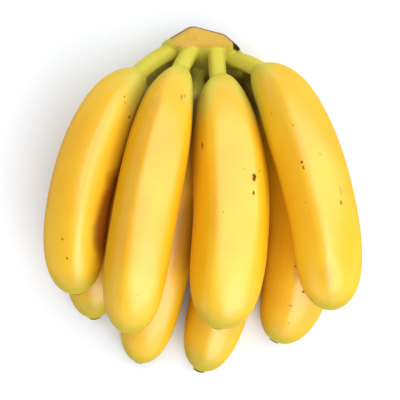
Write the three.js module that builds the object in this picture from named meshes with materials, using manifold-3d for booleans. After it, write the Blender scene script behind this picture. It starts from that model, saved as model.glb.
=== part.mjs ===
// A hand of eight plump yellow dessert bananas, as cut from its bunch and laid down with its hollow side below.
//
// The hand grew as one piece: every finger runs without a break through its neck into the crown, so it is one
// solid. Four back fingers curl down until they press on the surface, four front fingers arch over them, and the
// cut crown behind rests on its heel. Each finger is a circular arc with a swollen, softly five-sided body, and
// its withered flower end stands out as a small nub.
//
// Millimetres, +Z up. The origin is at the middle of the footprint, on the surface that the hand lies on. The
// fingers point along -Y and the crown is at +Y.

import * as THREE from 'three';
import { ConvexGeometry } from 'three/addons/geometries/ConvexGeometry.js';
import { mergeVertices } from 'three/addons/utils/BufferGeometryUtils.js';
import Module from 'manifold-3d';

const wasm = await Module();
wasm.setup();

const PEEL = new THREE.MeshStandardMaterial({ color: 0xf4bd2a, roughness: 0.5, metalness: 0 });

// Finger section and profile. A finger's radius is the neck's or the swollen body's, whichever is larger.
const ROOT_DEPTH = 6; // how far a finger reaches back into the crown behind its root
const NECK_RADIUS = 4.3;
const TIP_RADIUS = 3; // the core has thinned to this at the flower end
const NUB_LENGTH = 1; // how far the flower end stands out of the body
const FATTEST_AT = 0.54; // share of the body's length
const SHOULDER_POWER = 2.2; // higher is squarer
const TIP_POWER = 3.8;
const ROUNDNESS = 0.45; // 0.5 would be an ellipse
const FILLET_POWER = 3; // how tightly the neck turns into the body
const RIDGES = 5;
const HALF_FACE = Math.PI / RIDGES; // half the angle between two ridges
const ANGULARITY = 0.25; // 0 is a round section, 1 a sharp pentagon
const SWAY_REACH = 40; // the neck bends aside over this much of its length

// The two rows' roots on the crown, and how hard a back finger presses on the surface.
const FRONT = { y: 67, z: 23 };
const BACK = { y: 66, z: 9 };
const PRESS = 0.4;

// across: where the arc starts on the crown. sway: how far the neck's foot stands aside of the arc's start.
// fan: heading seen from above, 0 along -Y and positive towards +X. lean: how far the arc's plane tips to +X.
// rise: the arc's slope at the root. bend: how far the whole finger turns down; a finger without one curls until it
// presses on the surface. length: root to flower end. neck: from the root, just inside the crown, to where the body
// starts to swell. width: across the body. roll: how far the nearest ridge is turned from the back to the right.
const FINGERS = [
  {
    row: FRONT, across: -20.3, sway: [5, -1.5], fan: -15, lean: -33, rise: 49, bend: 85.7,
    length: 124.5, neck: 18, width: 28.6, roll: 38,
  },
  {
    row: FRONT, across: -9.5, sway: [4.5, 0], fan: -10.5, lean: -3, rise: 53, bend: 91.6,
    length: 141.5, neck: 18, width: 29, roll: 18,
  },
  {
    row: FRONT, across: 0, sway: [6, 0], fan: -2, lean: 31, rise: 43, bend: 66.6,
    length: 131, neck: 17, width: 34.4, roll: 27,
  },
  {
    row: FRONT, across: 21.2, sway: [-6, -5], fan: 14.3, lean: 20.5, rise: 57, bend: 98.8,
    length: 135.5, neck: 15.5, width: 30.8, roll: 45,
  },
  {
    row: BACK, across: -12, sway: [0, 0], fan: -18.5, lean: -52, rise: 27,
    length: 130, neck: 14, width: 28, roll: 20,
  },
  {
    row: BACK, across: -3, sway: [4, 0], fan: -10.5, lean: 7, rise: 27.5,
    length: 148, neck: 14, width: 28.5, roll: 40,
  },
  {
    row: BACK, across: 9, sway: [0, 0], fan: -3.9, lean: 57, rise: 20,
    length: 146.5, neck: 19, width: 28.8, roll: 5,
  },
  {
    row: BACK, across: 17.6, sway: [-5, 0], fan: 8.8, lean: 50, rise: 40,
    length: 143, neck: 12, width: 32, roll: 12,
  },
];

// The crown: outlines at four heights, joined by flat facets as the knife left them.
const HEEL = [[-14, 67], [-9, 72], [-4, 73.5], [8, 71], [13, 67], [12, 59.5], [-12, 59.5]];
const LOWER_GIRTH = [
  [-18, 66.5], [-17, 69.5], [-14, 71.5], [-8.3, 75.5], [-4.2, 77], [9.8, 73.3], [13.2, 70.7], [17, 67.6], [19, 51],
  [-14, 58.5],
];
const UPPER_GIRTH = [
  [-19, 66.5], [-18.5, 69.8], [-15, 71.8], [-8.5, 75.5], [-6.5, 76.9], [-4.2, 77.4], [9.8, 73.8], [13.2, 71],
  [17, 67.6],
];
const TOP = [[-13.5, 70.8], [-7.5, 74.8], [-4.5, 76.4], [9, 72.8], [12, 70], [12, 68.4], [-13, 68.4]];
const CROWN_LEVELS = [
  { z: 0, outline: HEEL },
  { z: 6, outline: LOWER_GIRTH },
  { z: 24, outline: UPPER_GIRTH },
  { z: 29, outline: TOP },
];

const AROUND = 20; // facets round a finger
const BODY_RINGS = 18;

const radians = THREE.MathUtils.degToRad;

/** Radius of a finger at a distance s from its root, on a ridge. */
function radiusAt(finger, s) {
  const share = (s - finger.neck) / (finger.length - finger.neck);
  const before = share < FATTEST_AT;
  const away = Math.abs(share - FATTEST_AT) / (before ? FATTEST_AT : 1 - FATTEST_AT);
  const fullness = Math.max(0, 1 - away ** (before ? SHOULDER_POWER : TIP_POWER)) ** ROUNDNESS;
  const core = THREE.MathUtils.lerp(NECK_RADIUS, TIP_RADIUS, Math.min(1, s / finger.length));
  const body = (fullness * finger.width) / 2;
  return (core ** FILLET_POWER + body ** FILLET_POWER) ** (1 / FILLET_POWER);
}

/** The finger's arc for a given bend: from s, the point there and the directions of its back and its right side. */
function arcOf(finger, bend) {
  const fan = radians(finger.fan);
  const lean = radians(finger.lean);
  const rise = radians(finger.rise);
  const turn = radians(bend) / finger.length;
  const root = new THREE.Vector3(finger.across, finger.row.y, finger.row.z);
  const sway = new THREE.Vector3(...finger.sway, 0);
  const ahead = new THREE.Vector3(Math.sin(fan), -Math.cos(fan), 0);
  const aside = new THREE.Vector3(Math.cos(fan), Math.sin(fan), 0);
  const up = aside.multiplyScalar(Math.sin(lean)).add(new THREE.Vector3(0, 0, Math.cos(lean)));
  const right = new THREE.Vector3().crossVectors(up, ahead);
  return (s) => {
    const slope = rise - turn * s;
    const point = root
      .clone()
      .addScaledVector(ahead, (Math.sin(rise) - Math.sin(slope)) / turn)
      .addScaledVector(up, (Math.cos(slope) - Math.cos(rise)) / turn)
      .addScaledVector(sway, Math.max(0, 1 - s / SWAY_REACH) ** 2);
    const back = up.clone().multiplyScalar(Math.cos(slope)).addScaledVector(ahead, -Math.sin(slope));
    return { point, back, right };
  };
}

/** What the faces between the ridges leave of the radius at an angle from a ridge. */
function sectionAt(angle) {
  const turned = THREE.MathUtils.euclideanModulo(angle, 2 * HALF_FACE) - HALF_FACE;
  return 1 - ANGULARITY * (1 - Math.cos(HALF_FACE) / Math.cos(turned));
}

/** The point on a finger's skin at a distance s from its root and an angle from its first ridge. */
function skinPoint(finger, arc, s, angle) {
  const radius = radiusAt(finger, s) * sectionAt(angle);
  const turned = angle + radians(finger.roll);
  const { point, back, right } = arc(s);
  return point.addScaledVector(back, radius * Math.cos(turned)).addScaledVector(right, radius * Math.sin(turned));
}

/** Lowest height that the body of a finger reaches with a given bend. */
function lowestWith(finger, bend) {
  const arc = arcOf(finger, bend);
  let lowest = Infinity;
  for (let s = 0.4 * finger.length; s <= finger.length; s += 1) {
    for (let i = 0; i < AROUND; i += 1) {
      lowest = Math.min(lowest, skinPoint(finger, arc, s, (2 * Math.PI * i) / AROUND).z);
    }
  }
  return lowest;
}

/** The bend with which a back finger presses on the surface, by halving. */
function settledBend(finger) {
  let [slack, tight] = [20, 130];
  for (let step = 0; step < 30; step += 1) {
    const bend = (slack + tight) / 2;
    if (lowestWith(finger, bend) < -PRESS) tight = bend;
    else slack = bend;
  }
  return slack;
}

/** Distances from the root at which a finger has its rings: closer together at the shoulder and at the tip. */
function ringStations(finger) {
  const body = finger.length - finger.neck;
  const stations = [-ROOT_DEPTH, finger.neck / 2];
  for (let i = 0; i < BODY_RINGS; i += 1) {
    stations.push(finger.neck + (body * (1 - Math.cos((Math.PI * i) / (BODY_RINGS - 1)))) / 2);
  }
  return [...stations, finger.length + NUB_LENGTH];
}

/** One finger: its profile turned on a lathe, then pressed into a soft pentagon and bent along its arc. */
function fingerGeometry(finger) {
  const stations = ringStations(finger);
  const profile = [
    new THREE.Vector2(0, stations[0]),
    ...stations.map((s) => new THREE.Vector2(radiusAt(finger, s), s)),
    new THREE.Vector2(0, stations.at(-1)),
  ];
  const geometry = new THREE.LatheGeometry(profile, AROUND);
  const arc = arcOf(finger, finger.bend ?? settledBend(finger));
  const vertices = geometry.getAttribute('position');
  for (let i = 0; i < vertices.count; i += 1) {
    const [x, s, z] = [vertices.getX(i), vertices.getY(i), vertices.getZ(i)];
    const onAxis = Math.hypot(x, z) < 1e-6;
    const point = onAxis ? arc(s).point : skinPoint(finger, arc, s, Math.atan2(z, x));
    vertices.setXYZ(i, point.x, point.y, point.z);
  }
  return geometry;
}

/** The crown: the flat-sided solid around its outlines. */
function crownGeometry() {
  const corners = CROWN_LEVELS.flatMap(({ z, outline }) => outline.map(([x, y]) => new THREE.Vector3(x, y, z)));
  return new ConvexGeometry(corners);
}

/** A three.js geometry as a manifold-3d solid. */
function solidOf(geometry) {
  const bare = geometry.clone();
  bare.deleteAttribute('normal');
  bare.deleteAttribute('uv');
  const merged = mergeVertices(bare, 1e-3);
  const triangles = [];
  for (let i = 0; i < merged.index.count; i += 3) {
    const corners = Array.from(merged.index.array.slice(i, i + 3));
    if (new Set(corners).size === 3) triangles.push(...corners); // a lathe's poles have some with no area
  }
  return new wasm.Manifold(
    new wasm.Mesh({
      numProp: 3,
      vertProperties: merged.getAttribute('position').array,
      triVerts: new Uint32Array(triangles),
    }),
  );
}

/** A manifold-3d solid as a named three.js mesh. */
function meshOf(name, solid, material) {
  const { vertProperties, triVerts } = solid.getMesh();
  const geometry = new THREE.BufferGeometry();
  geometry.setAttribute('position', new THREE.BufferAttribute(vertProperties, 3));
  geometry.setIndex(new THREE.BufferAttribute(triVerts, 1));
  geometry.computeVertexNormals();
  const mesh = new THREE.Mesh(geometry, material);
  mesh.name = name;
  return mesh;
}

const GROUND = 400;
const ground = new THREE.BoxGeometry(GROUND, GROUND, GROUND).translate(0, 0, -GROUND / 2);

let hand = solidOf(crownGeometry());
for (const finger of FINGERS) hand = hand.add(solidOf(fingerGeometry(finger)));
hand = hand.subtract(solidOf(ground));

const mesh = meshOf('banana_hand', hand, PEEL);
mesh.geometry.computeBoundingBox();
const middle = mesh.geometry.boundingBox.getCenter(new THREE.Vector3());
mesh.geometry.translate(-middle.x, -middle.y, 0);

const part = new THREE.Group();
part.add(mesh);

export default part;
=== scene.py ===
"""A hand of eight plump yellow dessert bananas, lying with its hollow side down.

The hand grew as one piece, so it is one skin: eight bent fingers and the cut crown are modelled as closed
shapes, grown together by a voxel remesh, smoothed where the necks run into the crown, and thinned. Every
point of the skin then learns which finger it is on, how far along and how far round, so that the peel's
colours and marks follow the fingers.

The classes hold millimetres, or metres where they say so, and the meshes are in metres. +Z is up, and the
fingers point along -Y.
"""

from __future__ import annotations

import functools
import logging
import math
from dataclasses import dataclass
from enum import Enum

import bmesh
import bpy
import numpy as np
from mathutils import Matrix, Vector, noise

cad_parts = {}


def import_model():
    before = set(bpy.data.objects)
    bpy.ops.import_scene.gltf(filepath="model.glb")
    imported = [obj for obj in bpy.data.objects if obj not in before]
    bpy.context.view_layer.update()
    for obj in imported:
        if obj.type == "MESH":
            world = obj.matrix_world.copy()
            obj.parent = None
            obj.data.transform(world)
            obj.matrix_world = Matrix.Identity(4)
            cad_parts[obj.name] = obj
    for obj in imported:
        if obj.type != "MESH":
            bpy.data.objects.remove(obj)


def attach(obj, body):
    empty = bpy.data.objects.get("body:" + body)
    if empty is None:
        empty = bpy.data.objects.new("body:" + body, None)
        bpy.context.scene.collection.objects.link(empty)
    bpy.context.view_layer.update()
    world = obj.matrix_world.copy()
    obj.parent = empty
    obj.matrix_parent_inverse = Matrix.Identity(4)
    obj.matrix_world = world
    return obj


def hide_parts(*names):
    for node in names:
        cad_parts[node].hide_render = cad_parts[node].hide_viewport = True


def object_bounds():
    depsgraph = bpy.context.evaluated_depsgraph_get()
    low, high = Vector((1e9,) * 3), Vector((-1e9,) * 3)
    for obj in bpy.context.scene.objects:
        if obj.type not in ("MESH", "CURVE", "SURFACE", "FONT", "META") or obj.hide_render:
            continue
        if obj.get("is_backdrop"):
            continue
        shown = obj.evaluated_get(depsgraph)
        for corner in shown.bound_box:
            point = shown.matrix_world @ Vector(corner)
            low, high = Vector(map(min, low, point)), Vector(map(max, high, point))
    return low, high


LOG = logging.getLogger("banana_hand")

MM = 0.001
NODE = "banana_hand"
SEED = 7  # Draw of the skin's unevenness, without which every run would differ.
SEARCHES = 4  # Rounds in which a point's place along a swayed finger is found.
WEIGHT_LEVELS = 10  # Steps in which the smoothing's strength grows.
SENSOR = 36.0  # Width of the camera's sensor, in millimetres.
AIM = (0.0, 0.0, 0.03)  # What the lights look at, in metres.

Triple = tuple[float, float, float]
Colour = Triple
Span = tuple[float, float]
Outline = tuple[Span, ...]


class Row(Enum):
    """The two rows of fingers: the depth and height of their roots on the crown."""

    FRONT = (67.0, 23.0)
    BACK = (66.0, 9.0)


@dataclass(frozen=True)
class Profile:
    """The outline and the section that all fingers share.

    Attributes:
        root_depth: how far a finger reaches back into the crown.
        neck_radius: the core's radius at the root.
        tip_radius: the core's radius at the flower end.
        nub_length: how far the flower end stands out.
        fattest_at: share of the body's length.
        shoulder_power: squareness of the body before that.
        tip_power: squareness of the body behind it.
        roundness: 0.5 for an ellipse.
        fillet_power: how tightly the neck turns into the body.
        ridges: number of ridges.
        angularity: 0 for a round section, 1 for a sharp one.
        ridge_rounding: how far a ridge is rounded to each side, in degrees.
        rounding_samples: directions that the rounding averages.
        girth: what makes up for the rounding.
        fade: shares of the length between which the section turns round.
        swells: broad and fine unevenness of the skin, each as waves in a millimetre and height.
        sway_reach: length over which a neck bends aside.
        ring_sides: corners of a ring.
        body_rings: rings of the body.
        neck_rings: rings of the neck.
        nub_rings: where the nub's rings lie, as shares of its length.
    """

    root_depth: float = 6.0
    neck_radius: float = 4.3
    tip_radius: float = 3.0
    nub_length: float = 1.0
    fattest_at: float = 0.54
    shoulder_power: float = 2.6
    tip_power: float = 4.6
    roundness: float = 0.45
    fillet_power: float = 3.0
    ridges: int = 5
    angularity: float = 0.55
    ridge_rounding: float = 10.0
    rounding_samples: int = 7
    girth: float = 1.04
    fade: Span = (0.78, 1.0)
    swells: tuple[Span, Span] = ((0.03, 0.35), (0.1, 0.1))
    sway_reach: float = 40.0
    ring_sides: int = 60
    body_rings: int = 72
    neck_rings: int = 16
    nub_rings: tuple[float, ...] = (0.4, 0.8, 1.0)

    @property
    def half_face(self) -> float:
        """Half the angle between two ridges."""
        return math.pi / self.ridges

    @property
    def mean_flattening(self) -> float:
        """Share of the radius that quite flat faces take away on average."""
        slant = math.log(math.tan(self.half_face / 2 + math.pi / 4))
        return 1 - math.cos(self.half_face) * slant / self.half_face

    def section(self, angle: np.ndarray | float, share: float) -> np.ndarray:
        """Share of the radius that the flat faces leave.

        Args:
            angle: how far round from a ridge.
            share: how far along the finger, from 0 to 1.

        Returns:
            1 on a sharp ridge and less elsewhere, with the ridges rounded, and even at the flower end.
        """
        spread = np.radians(np.linspace(-self.ridge_rounding, self.ridge_rounding, self.rounding_samples))
        turned = np.mod(np.asarray(angle)[..., None] + spread, 2 * self.half_face) - self.half_face
        left = 1 - self.angularity * (1 - math.cos(self.half_face) / np.cos(turned)).mean(-1)
        even = 1 - self.angularity * self.mean_flattening
        return self.girth * (left + (even - left) * np.interp(share, self.fade, (0, 1)))


@dataclass(frozen=True)
class Finger:
    """One banana: a swollen profile bent along a circular arc.

    Attributes:
        row: the row that it grows in.
        across: where the arc starts on the crown.
        sway: how far the neck's foot stands aside of the arc's start.
        fan: heading seen from above, 0 along -Y and positive towards +X, in degrees.
        lean: how far the arc's plane tips to +X, in degrees.
        rise: the arc's slope at the root, in degrees.
        bend: how far the whole finger turns down, in degrees.
        length: root to flower end.
        neck: root to where the body starts to swell.
        width: across the body.
        roll: how far the first ridge is turned from the back to the right, in degrees.
        warmth: 0 where the peel is lemon yellow, 1 where it is golden.
        withered: how far the dark of the flower end reaches over its rim and up the body.
    """

    row: Row
    across: float
    sway: Span
    fan: float
    lean: float
    rise: float
    bend: float
    length: float
    neck: float
    width: float
    roll: float
    warmth: float = 0.5
    withered: float = 0.0
    profile: Profile = Profile()

    @property
    def root(self) -> np.ndarray:
        """Start of the arc."""
        return np.array([self.across, *self.row.value])

    @property
    def axes(self) -> tuple[np.ndarray, np.ndarray, np.ndarray]:
        """The heading, the direction that the arc's plane calls up, and the right side."""
        fan, lean = math.radians(self.fan), math.radians(self.lean)
        ahead = np.array([math.sin(fan), -math.cos(fan), 0.0])
        aside = np.array([math.cos(fan), math.sin(fan), 0.0])
        up = math.sin(lean) * aside + math.cos(lean) * np.array([0.0, 0.0, 1.0])
        return ahead, up, np.cross(up, ahead)

    @property
    def turn(self) -> float:
        """Radians that the arc turns in a millimetre."""
        return math.radians(self.bend) / self.length

    def radius(self, s: np.ndarray | float) -> np.ndarray:
        """Radius on a ridge at each distance from the root."""
        shape = self.profile
        s = np.asarray(s, float)
        share = (s - self.neck) / (self.length - self.neck)
        before = share < shape.fattest_at
        away = np.abs(share - shape.fattest_at) / np.where(before, shape.fattest_at, 1 - shape.fattest_at)
        fullness = np.clip(1 - away ** np.where(before, shape.shoulder_power, shape.tip_power), 0, 1)
        body = fullness**shape.roundness * self.width / 2
        core = shape.neck_radius + (shape.tip_radius - shape.neck_radius) * np.clip(s / self.length, 0, 1)
        return (core**shape.fillet_power + body**shape.fillet_power) ** (1 / shape.fillet_power)

    def stations(self) -> np.ndarray:
        """Distances of the rings from the root, closer together at the shoulder and at the tip."""
        shape = self.profile
        neck = np.linspace(-shape.root_depth, self.neck, shape.neck_rings, endpoint=False)
        swelling = (1 - np.cos(np.linspace(0, math.pi, shape.body_rings))) / 2
        nub = self.length + shape.nub_length * np.array(shape.nub_rings)
        return np.concatenate([neck, self.neck + (self.length - self.neck) * swelling, nub])

    def sway_at(self, s: np.ndarray | float) -> np.ndarray:
        """How far the axis is moved aside of the arc at each distance from the root."""
        fade = np.clip(1 - np.asarray(s, float) / self.profile.sway_reach, 0, None) ** 2
        return np.multiply.outer(fade, np.array([*self.sway, 0.0]))

    def ring_place(self, s: float) -> Matrix:
        """Matrix that takes a circle of radius 1 to the ring at s: X to the back and Y to the right."""
        ahead, up, right = self.axes
        rise = math.radians(self.rise)
        slope = rise - self.turn * s
        centre = (
            self.root
            + ahead * (math.sin(rise) - math.sin(slope)) / self.turn
            + up * (math.cos(slope) - math.cos(rise)) / self.turn
            + self.sway_at(s)
        )
        back = up * math.cos(slope) - ahead * math.sin(slope)
        along = ahead * math.cos(slope) + up * math.sin(slope)
        radius = float(self.radius(s))
        columns = np.stack([back * radius, right * radius, -along * radius, centre], 1) * MM
        return Matrix([*columns.tolist(), [0.0, 0.0, 0.0, 1.0]])

    def build(self, bm: bmesh.types.BMesh) -> None:
        """Adds the finger to bm as a closed tube of extruded rings."""
        made = bmesh.ops.create_circle(bm, cap_ends=True, radius=1, segments=self.profile.ring_sides)
        ring = made["verts"]
        members = set(ring)
        edges = [e for e in bm.edges if members.issuperset(e.verts)]
        skin = list(ring)
        place = Matrix.Identity(4)
        for index, s in enumerate(self.stations()):
            if index:
                grown = bmesh.ops.extrude_edge_only(bm, edges=edges)["geom"]
                ring = [g for g in grown if isinstance(g, bmesh.types.BMVert)]
                edges = [g for g in grown if isinstance(g, bmesh.types.BMEdge)]
                skin += ring
            following = self.ring_place(float(s))
            self.move_ring(ring, place.inverted(), following, float(s))
            place = following
        bmesh.ops.contextual_create(bm, geom=edges)
        self.roughen(skin)

    def move_ring(self, ring: list[bmesh.types.BMVert], back: Matrix, place: Matrix, s: float) -> None:
        """Gives a ring its section and its place at s; back takes it to the first circle."""
        for vertex in ring:
            flat = back @ vertex.co
            angle = math.atan2(flat.y, flat.x)
            radius = float(self.profile.section(angle - math.radians(self.roll), s / self.length))
            vertex.co = place @ Vector((radius * math.cos(angle), radius * math.sin(angle), 0.0))

    def roughen(self, skin: list[bmesh.types.BMVert]) -> None:
        """Moves the skin a little, broadly and finely, because no grown fruit is quite even."""
        apart = Vector((0.0, 0.0, self.across * 3 + self.length))
        for vertex in skin:
            at = vertex.co / MM
            swell = Vector()
            for waves, height in self.profile.swells:
                swell += noise.noise_vector(at * waves + apart) * height
            vertex.co += swell * MM

    def locate(self, points: np.ndarray) -> tuple[np.ndarray, np.ndarray, np.ndarray]:
        """Finds points on the finger.

        Args:
            points: one row for each point.

        Returns:
            How far along the arc each point is, its angle from the back, and its distance from the axis.
        """
        ahead, up, right = self.axes
        rise = math.radians(self.rise)
        along = np.full(len(points), self.profile.sway_reach)
        for _ in range(SEARCHES):
            moved = points - self.root - self.sway_at(np.clip(along, -self.profile.root_depth, None))
            forward = moved @ ahead - math.sin(rise) / self.turn
            upward = moved @ up + math.cos(rise) / self.turn
            along = (rise - np.arctan2(-forward, upward)) / self.turn
        outward = np.hypot(forward, upward) - 1 / self.turn
        sideways = moved @ right
        return along, np.arctan2(sideways, outward), np.hypot(sideways, outward)


# Row, across, sway, fan, lean, rise, bend, length, neck, width and roll, then the look.
FINGERS = (
    Finger(Row.FRONT, -20.3, (5, -1.5), -15, -33, 49, 85.7, 124.5, 18, 28.6, 38, warmth=0.45),
    Finger(Row.FRONT, -9.1, (4.1, 0), -10.5, -3, 53, 91.6, 141.5, 16, 29, 54, warmth=0.5),
    Finger(Row.FRONT, 0, (6, 0), -2, 31, 43, 66.6, 131, 17, 34.4, 14, warmth=0.3),
    Finger(Row.FRONT, 21.2, (-6, -5), 14.3, 20.5, 57, 98.8, 135.5, 15.5, 30.8, 40, warmth=0.42),
    Finger(Row.BACK, -12, (0, 0), -18.5, -52, 27, 56.6, 130, 14, 28, 20, warmth=0.5, withered=0.2),
    Finger(Row.BACK, -3, (4, 0), -10.5, 7, 27.5, 59.1, 148, 14, 28.5, 40, warmth=0.2, withered=0.6),
    Finger(Row.BACK, 9, (0, 0), -3.9, 57, 20, 40.6, 146.5, 17, 28.8, 5, warmth=0.45, withered=0.4),
    Finger(Row.BACK, 17.6, (-5, 0), 8.8, 50, 40, 84.7, 143, 12, 32, 12, warmth=0.7, withered=0.8),
)


@dataclass(frozen=True)
class Crown:
    """The cut crown that joins the necks: outlines at four heights, joined by flat facets.

    Attributes:
        heel: the outline on the surface.
        lower_girth: the widest outline, with the web that reaches forward between the necks.
        upper_girth: the outline where the facets turn in to the top.
        top: the outline of the flat top.
        heights: the four outlines' heights.
        rounding: how far the edges are rounded.
        sharp: the angle from which an edge is rounded, in degrees.
    """

    heel: Outline = ((-14, 67), (-9, 72), (-4, 73.5), (8, 71), (13, 67), (12, 59.5), (-12, 59.5))
    lower_girth: Outline = (
        (-18, 66.5), (-17, 69.5), (-14, 71.5), (-8.3, 75.5), (-4.2, 77),
        (9.8, 73.3), (13.2, 70.7), (17, 67.6), (20.5, 47.3), (-14, 56.5),
    )
    upper_girth: Outline = (
        (-19, 66.5), (-18.5, 69.8), (-15, 71.8), (-8.5, 75.5), (-6.5, 76.9),
        (-4.2, 77.4), (9.8, 73.8), (13.2, 71), (17, 67.6),
    )
    top: Outline = ((-13.5, 70.8), (-7.5, 74.8), (-4.5, 76.4), (9, 72.8), (12, 70), (12, 68.4), (-13, 68.4))
    heights: tuple[float, float, float, float] = (0.0, 6.0, 24.0, 29.0)
    rounding: float = 0.9
    sharp: float = 20.0

    def build(self, bm: bmesh.types.BMesh) -> None:
        """Adds the crown to bm as a closed hull with rounded edges."""
        outlines = (self.heel, self.lower_girth, self.upper_girth, self.top)
        corners = [
            bmesh.ops.create_vert(bm, co=Vector((x, y, z)) * MM)["vert"][0]
            for z, outline in zip(self.heights, outlines)
            for x, y in outline
        ]
        hull = bmesh.ops.convex_hull(bm, input=corners, use_existing_faces=False)
        shell = [g for g in hull["geom"] if isinstance(g, bmesh.types.BMFace)]
        turned = math.radians(self.sharp)
        edges = list({e for f in shell for e in f.edges if e.calc_face_angle(0) > turned})
        bmesh.ops.bevel(
            bm, geom=edges, offset=self.rounding * MM, segments=3, profile=0.5, affect="EDGES", material=-1
        )


class Field:
    """A node's output that can be used in sums."""

    def __init__(self, graph: Graph, socket: bpy.types.NodeSocket) -> None:
        """Wraps a socket of graph."""
        self.graph = graph
        self.socket = socket

    def _sum(self, operation: str, first: Value, second: Value) -> Field:
        """A Math node's result."""
        return self.graph.out("ShaderNodeMath", {"operation": operation}, {0: first, 1: second}, 0)

    def __add__(self, other: Value) -> Field:
        """self + other."""
        return self._sum("ADD", self, other)

    def __sub__(self, other: Value) -> Field:
        """self - other."""
        return self._sum("SUBTRACT", self, other)

    def __rsub__(self, other: Value) -> Field:
        """other - self."""
        return self._sum("SUBTRACT", other, self)

    def __mul__(self, other: Value) -> Field:
        """self * other."""
        return self._sum("MULTIPLY", self, other)

    def __truediv__(self, other: Value) -> Field:
        """self / other."""
        return self._sum("DIVIDE", self, other)

    def most(self, other: Value) -> Field:
        """The larger of the two."""
        return self._sum("MAXIMUM", self, other)

    def step(self, start: float, end: float) -> Field:
        """0 at start and 1 at end, with a smooth change between them; start may be the larger."""
        low, high = min(start, end), max(start, end)
        source = {"Value": self, "From Min": low, "From Max": high}
        target = {"To Min": float(start > end), "To Max": float(end > start)}
        settings = {"interpolation_type": "SMOOTHSTEP"}
        return self.graph.out("ShaderNodeMapRange", settings, source | target, "Result")


Value = Field | float


@dataclass(frozen=True)
class Edge:
    """A soft edge between two looks.

    Attributes:
        start: the value at which the second look sets in.
        end: the value at which it is full; it may be below start.
        strength: how full it gets, from 0 to 1.
        ragged: how far noise moves the edge to and fro.
    """

    start: float
    end: float
    strength: float = 1.0
    ragged: float = 0.0

    def of(self, value: Field, grain: Field | None = None) -> Field:
        """The second look's share at a value, with the edge moved by a noise around 0.5."""
        moved = value if grain is None else value + (grain - 0.5) * self.ragged
        return moved.step(self.start, self.end) * self.strength


@dataclass(frozen=True)
class Grain:
    """A noise pattern.

    Attributes:
        scale: waves in a metre.
        detail: number of finer layers.
        roughness: strength of the finer layers.
        squeeze: what the three coordinates are multiplied by first, below 1 for waves drawn out that way.
    """

    scale: float
    detail: float = 2.0
    roughness: float = 0.5
    squeeze: Triple = (1.0, 1.0, 1.0)


class Graph:
    """A material's node tree, built by expressions."""

    def __init__(self, name: str) -> None:
        """Makes a material with that name and a Principled shader."""
        self.material = bpy.data.materials.new(name)
        self.material.use_nodes = True
        self.tree = self.material.node_tree
        self.shader = self.tree.nodes["Principled BSDF"]

    def node(self, kind: str, settings: dict, inputs: dict) -> bpy.types.Node:
        """Adds a node.

        Args:
            kind: the node's type.
            settings: its properties, set first.
            inputs: its sockets, by name or number, with a Field to link or a value to set.

        Returns:
            The node.
        """
        made = self.tree.nodes.new(kind)
        for key, value in settings.items():
            setattr(made, key, value)
        for key, value in inputs.items():
            if isinstance(value, Field):
                self.tree.links.new(value.socket, made.inputs[key])
            else:
                made.inputs[key].default_value = value
        return made

    def out(self, kind: str, settings: dict, inputs: dict, output: str | int) -> Field:
        """Adds a node and gives one of its outputs."""
        return Field(self, self.node(kind, settings, inputs).outputs[output])

    def attribute(self, name: str, output: str = "Fac") -> Field:
        """An attribute of the mesh, as a number or as its "Vector"."""
        return self.out("ShaderNodeAttribute", {"attribute_name": name}, {}, output)

    def noise(self, at: Field, grain: Grain) -> Field:
        """Smooth noise around 0.5."""
        inputs = {"Scale": grain.scale, "Detail": grain.detail, "Roughness": grain.roughness}
        inputs["Vector"] = self.vector("MULTIPLY", at, grain.squeeze)
        return self.out("ShaderNodeTexNoise", {}, inputs, "Fac")

    def parts(self, vector: Field) -> tuple[Field, Field, Field]:
        """A vector's X, Y and Z."""
        apart = self.node("ShaderNodeSeparateXYZ", {}, {0: vector})
        return tuple(Field(self, apart.outputs[axis]) for axis in "XYZ")

    def length(self, vector: Field) -> Field:
        """A vector's length."""
        return self.vector("LENGTH", vector, (0.0, 0.0, 0.0), "Value")

    def vector(self, operation: str, first: Field, second: Triple, output: str | int = 0) -> Field:
        """A Vector Math node's result."""
        return self.out("ShaderNodeVectorMath", {"operation": operation}, {0: first, 1: second}, output)

    def blend(self, share: Value, first: Field | Colour, second: Field | Colour) -> Field:
        """The first colour where share is 0 and the second where it is 1."""
        ends = [c if isinstance(c, Field) else (*c, 1.0) for c in (first, second)]
        return self.out("ShaderNodeMix", {"data_type": "RGBA"}, {0: share, 6: ends[0], 7: ends[1]}, 2)

    def finish(self, **values: Field | float | tuple) -> None:
        """Sets or links inputs of the shader, named with underscores for blanks."""
        for name, value in values.items():
            socket = self.shader.inputs[name.replace("_", " ")]
            if isinstance(value, Field):
                self.tree.links.new(value.socket, socket)
            else:
                socket.default_value = value


@dataclass(frozen=True)
class Blemish:
    """A mark on the peel, or a patch of painted shadow.

    Attributes:
        finger: the finger's place in FINGERS.
        share: how far along the finger, from 0 to 1.
        angle: how far round from the back to the right, in degrees.
        size: radius.
        stretch: how many times longer than wide.
        strength: from 0 to 1.
    """

    finger: int
    share: float
    angle: float
    size: float
    stretch: float = 1.0
    strength: float = 1.0


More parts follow.
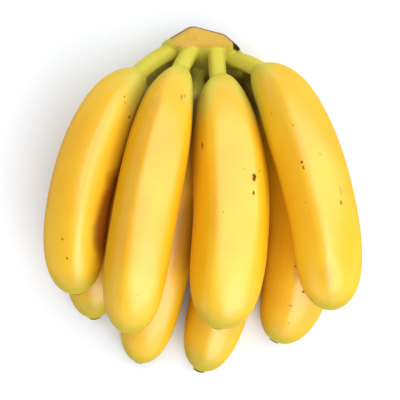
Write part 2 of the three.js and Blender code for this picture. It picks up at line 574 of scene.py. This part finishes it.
@dataclass(frozen=True)
class PeelFinish:
    """The skin's colours and marks, from the green necks over the yellow bodies to the dark flower ends,
    with painted shade and shadows where the fingers lie deep or close together.
    """

    lemon: Colour = (0.84, 0.485, 0.01)
    golden: Colour = (0.84, 0.395, 0.002)
    neck: Colour = (0.62, 0.55, 0.065)
    tip: Colour = (0.42, 0.36, 0.003)
    # painted shade: the dark brown laid on the back necks under the front row and on the web between the
    # front necks
    deep_shade: Colour = (0.09, 0.045, 0.004)
    bruise: Colour = (0.5, 0.2, 0.01)
    crown: Colour = (0.6, 0.375, 0.065)
    crown_shade: Colour = (0.4, 0.2, 0.03)
    cut_face: Colour = (0.385, 0.262, 0.123)
    cut_dot: Colour = (0.154, 0.092, 0.039)
    cut_edge: Colour = (0.24, 0.14, 0.05)
    scar: Colour = (0.02, 0.014, 0.004)
    # painted shade: the red-brown laid where fingers lie close together and where one shades the next
    painted_shade: Colour = (0.25, 0.05, 0.003)
    flower_end: Colour = (0.022, 0.013, 0.005)
    mark: Colour = (0.12, 0.045, 0.006)
    scratch: Colour = (0.22, 0.25, 0.02)

    # Noises on the unbent fingers, and one on the crown.
    patches: Grain = Grain(45.0, 3.0)
    streaks: Grain = Grain(650.0, 3.0, 0.6, (1.0, 1.0, 0.07))
    wobble: Grain = Grain(1400.0)
    scurf: Grain = Grain(330.0, 4.0, 0.65, (1.0, 0.45, 1.0))
    patchiness: float = 1.6
    streakiness: float = 0.3

    # Edges in metres along a finger, or to its flower end.
    pale_shoulder: Edge = Edge(0.065, 0.03, 0.6)
    pale_end: Edge = Edge(0.045, 0.015, 0.4)
    green_neck: Edge = Edge(0.036, 0.015, ragged=0.016)
    dull_neck: Edge = Edge(0.026, 0.012)
    green_tip: Edge = Edge(0.016, 0.003, 0.8, ragged=0.008)
    withered_end: Edge = Edge(0.0003, -0.0004, ragged=0.0012)
    past_crown: Edge = Edge(0.007, 0.015)
    past_root: Edge = Edge(0.008, 0.018)
    before_body: Edge = Edge(0.042, 0.027)

    # Edges in metres to the next finger: the first three give where painted shade lies, the last where the
    # peel is greener.
    neck_shade: Edge = Edge(0.012, 0.005, 0.85, ragged=0.006)
    close: Edge = Edge(0.008, 0.001, 0.45, ragged=0.003)
    touching: Edge = Edge(0.0025, 0.0, 0.9, ragged=0.003)
    beside: Edge = Edge(0.012, 0.003)
    greener_beside: float = 0.012

    # Edges from the middle of a face, 0, to a ridge, 1.
    brown_ridge: Edge = Edge(0.75, 1.0, 0.22)
    greener_ridge: float = 0.003

    # Edges by place, in metres, and by how much the skin looks up, from -1 to 1.
    # The web's three edges place painted shade in the web between the front necks.
    web_depth: Edge = Edge(0.04, 0.046)
    web_upward: Edge = Edge(0.1, 0.5)
    web_height: Edge = Edge(0.03, 0.019, 0.4)
    crown_line: Edge = Edge(-0.0008, 0.0008, ragged=0.003)
    crown_end: float = 0.0122
    crown_end_slope: float = 2.0
    dry_edge: Edge = Edge(0.023, 0.0245, 0.8, ragged=0.012)
    cut_upward: Edge = Edge(0.4, 0.25, ragged=0.3)
    scar_radius: float = 0.003
    scar_edge: Edge = Edge(1.1, 0.75, ragged=1.5)

    # Edges in a noise or a cell pattern, from 0 to 1, and the cells' numbers in a metre.
    crown_scurf: Edge = Edge(0.5, 0.85, 0.5)
    cut_scurf: Edge = Edge(0.4, 0.7, 0.6)
    fibre_cells: float = 900.0
    fibre_dots: Edge = Edge(0.35, 0.15, 0.7)
    freckle_cells: float = 170.0
    freckle_dots: Edge = Edge(0.085, 0.035, 0.6, ragged=0.08)
    freckle_lots: Edge = Edge(0.92, 0.97)
    blemish: Edge = Edge(1.15, 0.55, ragged=1.3)

    # Gloss, depth and relief.
    roughness: float = 0.5
    roughness_dull: float = 0.35
    roughness_patches: float = 0.12
    specular: float = 0.15
    coat_facing: Edge = Edge(0.55, 0.2)
    coat_roughness: float = 0.34
    coat_ior: float = 1.7
    scatter: float = 0.05
    scatter_reach: float = 0.002
    scatter_colours: Colour = (1.0, 0.4, 0.1)
    relief_strength: float = 0.3
    relief_depth: float = 0.0003
    relief_streaks: float = 0.35
    relief_wobble: float = 0.2
    relief_scurf: float = 1.5
    relief_patches: float = 1.5
    relief_spots: float = 0.5

    # Marks on single fingers. The unbent fingers lie this many metres apart.
    finger_gap: float = 0.5
    spots: tuple[Blemish, ...] = (
        Blemish(2, 0.512, 3, 1.1, 1.5),
        Blemish(2, 0.558, 1, 0.7, 1.3, 0.9),
        Blemish(2, 0.494, 13, 0.5, 1.0, 0.6),
        Blemish(2, 0.488, -12, 0.5, 1.0, 0.4),
        Blemish(2, 0.398, -80, 0.8, 2.0, 0.8),
        Blemish(3, 0.507, -38, 0.6, 1.0, 1.0),
        Blemish(3, 0.523, -38, 0.5, 1.6, 0.8),
        Blemish(3, 0.639, 11, 0.8, 1.2, 0.7),
        Blemish(3, 0.606, 15, 0.7, 2.5, 0.35),
        Blemish(3, 0.403, -32, 0.5, 1.0, 0.5),
        Blemish(3, 0.5, -5, 0.5, 1.0, 0.5),
        Blemish(3, 0.617, -51, 0.4, 1.0, 0.5),
        Blemish(0, 0.778, 14, 0.7, 0.6, 0.8),
        Blemish(0, 0.836, 25, 0.5, 1.0, 0.9),
        Blemish(0, 0.333, 86, 0.7, 1.0, 0.9),
        Blemish(0, 0.288, 51, 0.5, 1.0, 0.6),
        Blemish(1, 0.826, 14, 0.4, 1.0, 0.5),
        Blemish(7, 0.784, -42, 0.9, 0.7, 0.9),
        Blemish(7, 0.833, -57, 0.9, 0.6, 0.6),
        Blemish(7, 0.891, -50, 0.5, 1.0, 0.6),
        Blemish(7, 0.712, -63, 0.7, 1.0, 0.6),
        Blemish(5, 0.3, 120, 0.9, 1.5, 0.7),
        Blemish(6, 0.62, 150, 1.2, 1.2, 0.8),
        Blemish(4, 0.5, -120, 0.9, 1.4, 0.8),
        Blemish(0, 0.55, -100, 1.0, 1.5, 0.7),
        Blemish(3, 0.7, 120, 1.0, 1.3, 0.8),
    )
    bruises: tuple[Blemish, ...] = (
        Blemish(3, 0.83, -31, 4.5, 1.1, 0.22),
        Blemish(1, 0.595, -3, 4.5, 1.3, 0.16),
        Blemish(2, 0.62, -58, 4.0, 2.2, 0.2),
        Blemish(1, 0.3, -20, 3.5, 1.0, 0.14),
        Blemish(7, 0.66, 20, 5.0, 2.0, 0.2),
        Blemish(4, 0.7, 160, 5.0, 1.6, 0.25),
    )
    # Painted shadows: where the second front finger shades the first one's right side, and where the third
    # front finger shades the second back finger.
    painted_shadows: tuple[Blemish, ...] = (
        Blemish(0, 0.68, 103, 8.0, 3.2, 0.9),
        Blemish(5, 0.54, 45, 12.0, 1.8, 0.5),
    )
    scratches: tuple[Blemish, ...] = (
        Blemish(1, 0.259, 31, 0.7, 2.4, 0.8),
        Blemish(1, 0.25, 38, 0.6, 2.0, 0.7),
    )

    def material(self, hand: BananaHand) -> bpy.types.Material:
        """Builds the material.

        Args:
            hand: the hand that it dresses, for the places of its fingers and crown.

        Returns:
            The material.
        """
        g = Graph("banana_peel")
        unbent = g.attribute("unbent", "Vector")
        place = g.out("ShaderNodeTexCoord", {}, {}, "Object")
        patches, streaks = g.noise(unbent, self.patches), g.noise(unbent, self.streaks)
        wobble, scurf = g.noise(unbent, self.wobble), g.noise(place, self.scurf)

        # painted shade on the necks where they lie deep
        neck_shade = self.back_neck_shade(g, patches).most(self.web_shade(g, place))
        # painted shade between the fingers and painted shadows cast by them
        painted_shade = self.crevice_shade(g, patches).most(self.marked(g, unbent, patches, self.painted_shadows))
        bruised = self.marked(g, unbent, wobble, self.bruises)
        scratched = self.marked(g, unbent, wobble, self.scratches)
        spots = self.marked(g, unbent, wobble, self.spots).most(self.freckles(g, unbent, wobble))
        on_crown = self.crown_share(g, place, scurf, hand)
        scarred = self.corner_scar(g, place, scurf, hand)
        withered = self.withered_end.of(g.attribute("withered"), wobble)

        colour = self.body_colour(g, patches, streaks, neck_shade)
        # lays the painted shade and painted shadows over the peel
        colour = g.blend(painted_shade, colour, self.painted_shade)
        colour = g.blend(bruised, colour, self.bruise)
        colour = g.blend(scratched, colour, self.scratch)
        colour = g.blend(spots, colour, self.mark)
        colour = g.blend(on_crown, colour, self.crown_colour(g, place, scurf))
        colour = g.blend(scarred, colour, self.scar)
        colour = g.blend(withered, colour, self.flower_end)

        neck = self.dull_neck.of(g.attribute("along"))
        dull = on_crown.most(withered).most(scarred).most(neck_shade).most(spots).most(neck)
        facing = g.out("ShaderNodeLayerWeight", {}, {"Blend": 0.5}, "Facing")
        height = (
            streaks * self.relief_streaks
            + wobble * self.relief_wobble
            + scurf * on_crown * self.relief_scurf
            + patches * self.relief_patches
            - spots * self.relief_spots
        )
        bump = {"Strength": self.relief_strength, "Distance": self.relief_depth, "Height": height}
        uneven = dull * self.roughness_dull + (patches - 0.5) * self.roughness_patches
        g.finish(
            Base_Color=colour,
            Roughness=uneven + self.roughness,
            Normal=g.out("ShaderNodeBump", {}, bump, "Normal"),
            Specular_IOR_Level=self.specular,
            Coat_Weight=self.coat_facing.of(facing) * (1.0 - dull),
            Coat_Roughness=self.coat_roughness,
            Coat_IOR=self.coat_ior,
            Subsurface_Weight=self.scatter,
            Subsurface_Radius=self.scatter_colours,
            Subsurface_Scale=self.scatter_reach,
        )
        return g.material

    def body_colour(self, g: Graph, patches: Field, streaks: Field, neck_shade: Field) -> Field:
        """Yellow with golden patches, green at both ends, browner on the ridges, and darkened by painted
        shade where the necks lie deep.
        """
        along, to_end, ridge = g.attribute("along"), g.attribute("to_end"), g.attribute("ridge")
        pale = self.pale_shoulder.of(along) + self.pale_end.of(to_end)
        mottling = (patches - 0.5) * self.patchiness + (streaks - 0.5) * self.streakiness
        golden = (g.attribute("warmth") + mottling - pale).step(0.0, 1.0)
        colour = g.blend(golden, self.lemon, self.golden)
        colour = g.blend(self.brown_ridge.of(ridge) * streaks, colour, self.bruise)
        sooner = ridge * self.greener_ridge + self.beside.of(g.attribute("neighbour")) * self.greener_beside
        colour = g.blend(self.green_neck.of(along - sooner, patches), colour, self.neck)
        # lays the painted shade over the necks
        colour = g.blend(neck_shade, colour, self.deep_shade)
        return g.blend(self.green_tip.of(to_end, patches), colour, self.tip)

    def back_neck_shade(self, g: Graph, patches: Field) -> Field:
        """Painted shade on the back row's necks, the darker where the front row lies close above them."""
        along = g.attribute("along")
        reach = self.past_crown.of(along) * self.before_body.of(along)
        return g.attribute("back_row") * reach * self.neck_shade.of(g.attribute("neighbour"), patches)

    def web_shade(self, g: Graph, place: Field) -> Field:
        """Painted shade on the web between the front necks: the darker the deeper it lies."""
        _, depth, height = g.parts(place)
        upward = g.parts(g.out("ShaderNodeNewGeometry", {}, {}, "Normal"))[2]
        return self.web_depth.of(depth) * self.web_upward.of(upward) * self.web_height.of(height)

    def crevice_shade(self, g: Graph, patches: Field) -> Field:
        """Painted shade, red-brown, where the peel lies close to the next finger."""
        away = g.attribute("neighbour")
        painted_shade = self.close.of(away, patches).most(self.touching.of(away, patches))
        return painted_shade * self.past_root.of(g.attribute("along"))

    def crown_share(self, g: Graph, place: Field, scurf: Field, hand: BananaHand) -> Field:
        """How much of the skin is the crown's: behind a ragged line that bends back at its left end."""
        across, depth, _ = g.parts(place)
        line = (hand.crown_line - hand.centre[1]) * MM
        bent = (across * -1.0 - self.crown_end).most(0.0) * self.crown_end_slope
        return self.crown_line.of(depth - bent - line, scurf)

    def corner_scar(self, g: Graph, place: Field, scurf: Field, hand: BananaHand) -> Field:
        """The dark dry corner at the crown's right end."""
        x, y, z = hand.corner
        centre = ((x - hand.centre[0]) * MM, (y - hand.centre[1]) * MM, z * MM)
        away = g.length(g.vector("SUBTRACT", place, centre))
        return self.scar_edge.of(away / self.scar_radius, scurf)

    def crown_colour(self, g: Graph, place: Field, scurf: Field) -> Field:
        """Tan with browner scurf, and a cut face with the ends of the fibres and a dark dry edge on top."""
        cells = {"Vector": place, "Scale": self.fibre_cells}
        fibres = self.fibre_dots.of(g.out("ShaderNodeTexVoronoi", {}, cells, "Distance"))
        tan = g.blend(self.crown_scurf.of(scurf), self.crown, self.crown_shade)
        face = g.blend(fibres, self.cut_face, self.cut_dot)
        face = g.blend(self.cut_scurf.of(scurf), face, self.crown_shade)
        face = g.blend(self.dry_edge.of(g.parts(place)[2], scurf), face, self.cut_edge)
        return g.blend(self.cut_upward.of(g.attribute("up"), scurf), tan, face)

    def freckles(self, g: Graph, unbent: Field, wobble: Field) -> Field:
        """Fine brown specks, scattered at random."""
        cells = g.node("ShaderNodeTexVoronoi", {}, {"Vector": unbent, "Scale": self.freckle_cells})
        lot = g.out("ShaderNodeSeparateColor", {}, {"Color": Field(g, cells.outputs["Color"])}, "Red")
        dots = self.freckle_dots.of(Field(g, cells.outputs["Distance"]), wobble)
        return dots * self.freckle_lots.of(lot)

    def marked(self, g: Graph, unbent: Field, grain: Field, marks: tuple[Blemish, ...]) -> Field:
        """Where marks or painted shadows lie on the skin, with ragged edges."""
        shares = []
        for mark in marks:
            finger = FINGERS[mark.finger]
            s, angle = mark.share * finger.length, math.radians(mark.angle)
            flat = finger.profile.section(angle - math.radians(finger.roll), mark.share)
            radius = float(finger.radius(s) * flat) * MM
            along = s * MM + mark.finger * self.finger_gap
            centre = (radius * math.cos(angle), radius * math.sin(angle), along)
            away = g.vector("SUBTRACT", unbent, centre)
            away = g.length(g.vector("MULTIPLY", away, (1.0, 1.0, 1 / mark.stretch)))
            shares.append(self.blemish.of(away / (mark.size * MM), grain) * mark.strength)
        return functools.reduce(Field.most, shares)


@dataclass(frozen=True)
class BananaHand:
    """The whole hand: fingers and crown grown together in one skin.

    Attributes:
        centre: middle of the footprint, from the fingers' own origin.
        crown_line: how far back the crown's tan begins.
        corner: the crown's dark right corner.
        voxel: size of the remesh.
        triangles: faces of the finished skin.
        blending: how often the meeting of necks and crown is smoothed.
        meeting: where that smoothing sets in, is full and ends, along Y.
        evening: how often the whole skin is smoothed.
        end_radius: radius of the flower ends' dark faces.
    """

    fingers: tuple[Finger, ...] = FINGERS
    crown: Crown = Crown()
    finish: PeelFinish = PeelFinish()
    centre: Span = (-0.151, -0.88)
    crown_line: float = 67.7
    corner: Triple = (15.6, 69.0, 25.0)
    voxel: float = 0.5
    triangles: int = 190_000
    blending: int = 8
    meeting: tuple[float, float, float, float] = (50.0, 58.0, 67.0, 70.0)
    evening: int = 4
    end_radius: float = 2.2

    def build(self, low: Vector, high: Vector) -> bpy.types.Object:
        """Makes the skin as a finished piece.

        Args:
            low: lowest corner of the box that it has to fill.
            high: highest corner of that box.

        Returns:
            The skin.
        """
        body = self.grown_together()
        self.smooth_and_thin(body)
        self.map_skin(body)
        self.fit(body, low, high)
        body.data.materials.append(self.finish.material(self))
        body.data.shade_smooth()
        return body

    def grown_together(self) -> bpy.types.Object:
        """The fingers and the crown as one closed mesh of small faces."""
        noise.seed_set(SEED)
        bm = bmesh.new()
        for finger in self.fingers:
            finger.build(bm)
        self.crown.build(bm)
        bmesh.ops.recalc_face_normals(bm, faces=bm.faces)
        bmesh.ops.translate(bm, verts=bm.verts, vec=-Vector((*self.centre, 0)) * MM)
        mesh = bpy.data.meshes.new("banana_skin")
        bm.to_mesh(mesh)
        bm.free()
        body = bpy.data.objects.new("banana_skin", mesh)
        bpy.context.scene.collection.objects.link(body)
        remesh = body.modifiers.new("grow", "REMESH")
        remesh.mode = "VOXEL"
        remesh.voxel_size = self.voxel * MM * 1
        self.apply(body)
        LOG.info("grown together: %d faces", len(body.data.polygons))
        return body

    def smooth_and_thin(self, body: bpy.types.Object) -> None:
        """Smooths the skin, most where necks and crown meet, thins its faces and flattens where it rests."""
        near = np.interp(self.points_of(body)[:, 1], self.meeting, (0, 1, 1, 0))
        group = body.vertex_groups.new(name="necks")
        for level in range(1, WEIGHT_LEVELS + 1):
            chosen = np.flatnonzero(np.round(near * WEIGHT_LEVELS) == level)
            group.add(chosen.tolist(), level / WEIGHT_LEVELS, "REPLACE")
        blend = body.modifiers.new("blend", "SMOOTH")
        blend.factor, blend.iterations, blend.vertex_group = 0.5, self.blending, group.name
        even = body.modifiers.new("even", "SMOOTH")
        even.factor, even.iterations = 0.5, self.evening
        thin = body.modifiers.new("thin", "DECIMATE")
        thin.ratio = min(1.0, self.triangles / (2 * len(body.data.polygons)))
        self.apply(body)
        bm = bmesh.new()
        bm.from_mesh(body.data)
        for vertex in bm.verts:
            vertex.co.z = max(vertex.co.z, 0.0)
        bmesh.ops.dissolve_degenerate(bm, dist=1e-6, edges=bm.edges)
        bmesh.ops.triangulate(bm, faces=bm.faces)
        bm.to_mesh(body.data)
        bm.free()
        LOG.info("thinned: %d faces", len(body.data.polygons))

    def apply(self, body: bpy.types.Object) -> None:
        """Applies the modifiers of body."""
        graph = bpy.context.evaluated_depsgraph_get()
        done = bpy.data.meshes.new_from_object(body.evaluated_get(graph), depsgraph=graph)
        body.modifiers.clear()
        old, body.data = body.data, done
        body.vertex_groups.clear()
        bpy.data.meshes.remove(old)
        done.name = "banana_skin"

    def points_of(self, body: bpy.types.Object) -> np.ndarray:
        """The vertices of body, in millimetres from the fingers' own origin."""
        flat = np.empty(len(body.data.vertices) * 3, np.float32)
        body.data.vertices.foreach_get("co", flat)
        return flat.reshape(-1, 3).astype(float) / MM + np.array([*self.centre, 0.0])

    def map_skin(self, body: bpy.types.Object) -> None:
        """Gives every vertex its place on its finger, its upward share and the way to the next finger."""
        points = self.points_of(body)
        found = np.array([finger.locate(points) for finger in self.fingers])
        proud = []
        for finger, (along, _, distance) in zip(self.fingers, found):
            inside = np.clip(along, -finger.profile.root_depth, finger.length + finger.profile.nub_length)
            proud.append(distance - finger.radius(inside) + np.abs(along - inside))
        best = np.argmin(proud, axis=0)
        neighbour = np.partition(proud, 1, axis=0)[1]
        along, angle, distance = found[best, :, np.arange(len(points))].T
        length, roll, warmth, withered = np.array(
            [[f.length, math.radians(f.roll), f.warmth, f.withered] for f in self.fingers]
        )[best].T
        half = self.fingers[0].profile.half_face
        offset = best * self.finish.finger_gap / MM
        unbent = np.stack([distance * np.cos(angle), distance * np.sin(angle), along + offset], 1)
        normals = np.empty(len(points) * 3, np.float32)
        body.data.vertex_normals.foreach_get("vector", normals)
        layers = {
            "unbent": unbent * MM,
            "along": along * MM,
            "to_end": (length - along) * MM,
            "withered": (length - along + np.clip(distance - self.end_radius, 0, None) - withered) * MM,
            "ridge": 1 - np.abs(np.mod(angle - roll + half, 2 * half) - half) / half,
            "warmth": warmth,
            "back_row": np.array([float(f.row is Row.BACK) for f in self.fingers])[best],
            "up": normals.reshape(-1, 3)[:, 2],
            "neighbour": neighbour * MM,
        }
        for name, values in layers.items():
            self.store(body, name, values)

    @staticmethod
    def store(body: bpy.types.Object, name: str, values: np.ndarray) -> None:
        """Keeps values as an attribute of the vertices."""
        kind, key = ("FLOAT_VECTOR", "vector") if values.ndim > 1 else ("FLOAT", "value")
        layer = body.data.attributes.new(name, kind, "POINT")
        layer.data.foreach_set(key, np.ascontiguousarray(values, np.float32).ravel())

    @staticmethod
    def fit(body: bpy.types.Object, low: Vector, high: Vector) -> None:
        """Stretches body by the last fraction of a millimetre to fill the box from low to high."""
        flat = np.empty(len(body.data.vertices) * 3, np.float32)
        body.data.vertices.foreach_get("co", flat)
        points = flat.reshape(-1, 3)
        least, most = points.min(0), points.max(0)
        scale = [(high[k] - low[k]) / float(most[k] - least[k]) for k in range(3)]
        LOG.info("stretched by %s", [round(s, 4) for s in scale])
        stretch = Matrix.Diagonal((*scale, 1.0))
        body.data.transform(Matrix.Translation(low) @ stretch @ Matrix.Translation(-Vector(least)))


@dataclass(frozen=True)
class Softbox:
    """A square soft light that looks at the middle of the hand.

    Attributes:
        name: its name.
        at: its place, in metres.
        size: its side, in metres.
        power: in watts.
    """

    name: str
    at: Triple
    size: float
    power: float

    def build(self) -> None:
        """Adds the light to the scene."""
        light = bpy.data.lights.new(self.name, "AREA")
        light.size, light.energy = self.size, self.power
        lamp = bpy.data.objects.new(self.name, light)
        lamp.location = self.at
        lamp.rotation_euler = (Vector(AIM) - Vector(self.at)).to_track_quat("-Z", "Y").to_euler()
        bpy.context.scene.collection.objects.link(lamp)


@dataclass(frozen=True)
class Studio:
    """The pale floor, the soft lights and the camera above.

    Attributes:
        camera_at: the lens, in millimetres from the middle of the footprint.
        focal_share: focal length over the picture's width.
        clip: the nearest and the furthest that it sees, in metres.
        floor_size: side of the floor, in metres.
        floor: its colour.
        lights: the soft lights.
        room_light: brightness of the room around.
    """

    camera_at: Triple = (-0.949, 0.44, 900.0)
    focal_share: float = 4.88625
    clip: Span = (0.05, 20.0)
    floor_size: float = 6.0
    floor: Colour = (0.87, 0.9, 0.95)
    lights: tuple[Softbox, ...] = (
        Softbox("above", (0.25, 0.25, 0.9), 1.8, 20.0),
        Softbox("front", (0.35, -0.85, 0.65), 0.9, 8.0),
    )
    room_light: float = 0.2

    def build(self) -> None:
        """Makes the floor, the lights, the world and the camera."""
        self.build_floor()
        for light in self.lights:
            light.build()
        world = bpy.data.worlds.new("room")
        world.use_nodes = True
        background = world.node_tree.nodes["Background"]
        background.inputs["Color"].default_value = (1, 1, 1, 1)
        background.inputs["Strength"].default_value = self.room_light
        bpy.context.scene.world = world
        bpy.context.scene.view_settings.view_transform = "Standard"
        self.build_camera()

    def build_floor(self) -> None:
        """A plain pale surface."""
        bm = bmesh.new()
        bmesh.ops.create_grid(bm, x_segments=1, y_segments=1, size=self.floor_size / 2)
        mesh = bpy.data.meshes.new("floor")
        bm.to_mesh(mesh)
        bm.free()
        plane = bpy.data.objects.new("floor", mesh)
        g = Graph("pale_floor")
        g.finish(Base_Color=(*self.floor, 1.0), Roughness=0.9, Specular_IOR_Level=0.0)
        mesh.materials.append(g.material)
        bpy.context.scene.collection.objects.link(plane)
        plane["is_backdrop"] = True

    def build_camera(self) -> None:
        """A camera that looks straight down, with the crown at the top of its view."""
        lens = bpy.data.cameras.new("camera")
        lens.sensor_width = SENSOR
        lens.lens = SENSOR * self.focal_share
        lens.clip_start, lens.clip_end = self.clip
        camera = bpy.data.objects.new("camera", lens)
        camera.location = Vector(self.camera_at) * MM
        bpy.context.scene.collection.objects.link(camera)
        bpy.context.scene.camera = camera


def main() -> None:
    """Builds the hand and the studio."""
    logging.basicConfig(level=logging.INFO, format="%(name)s: %(message)s")
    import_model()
    low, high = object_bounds()
    skin = BananaHand().build(low, high)
    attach(skin, "root")
    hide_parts(NODE)
    LOG.info("%s: %d faces", skin.name, len(skin.data.polygons))
    Studio().build()


if __name__ == "__main__":
    main()
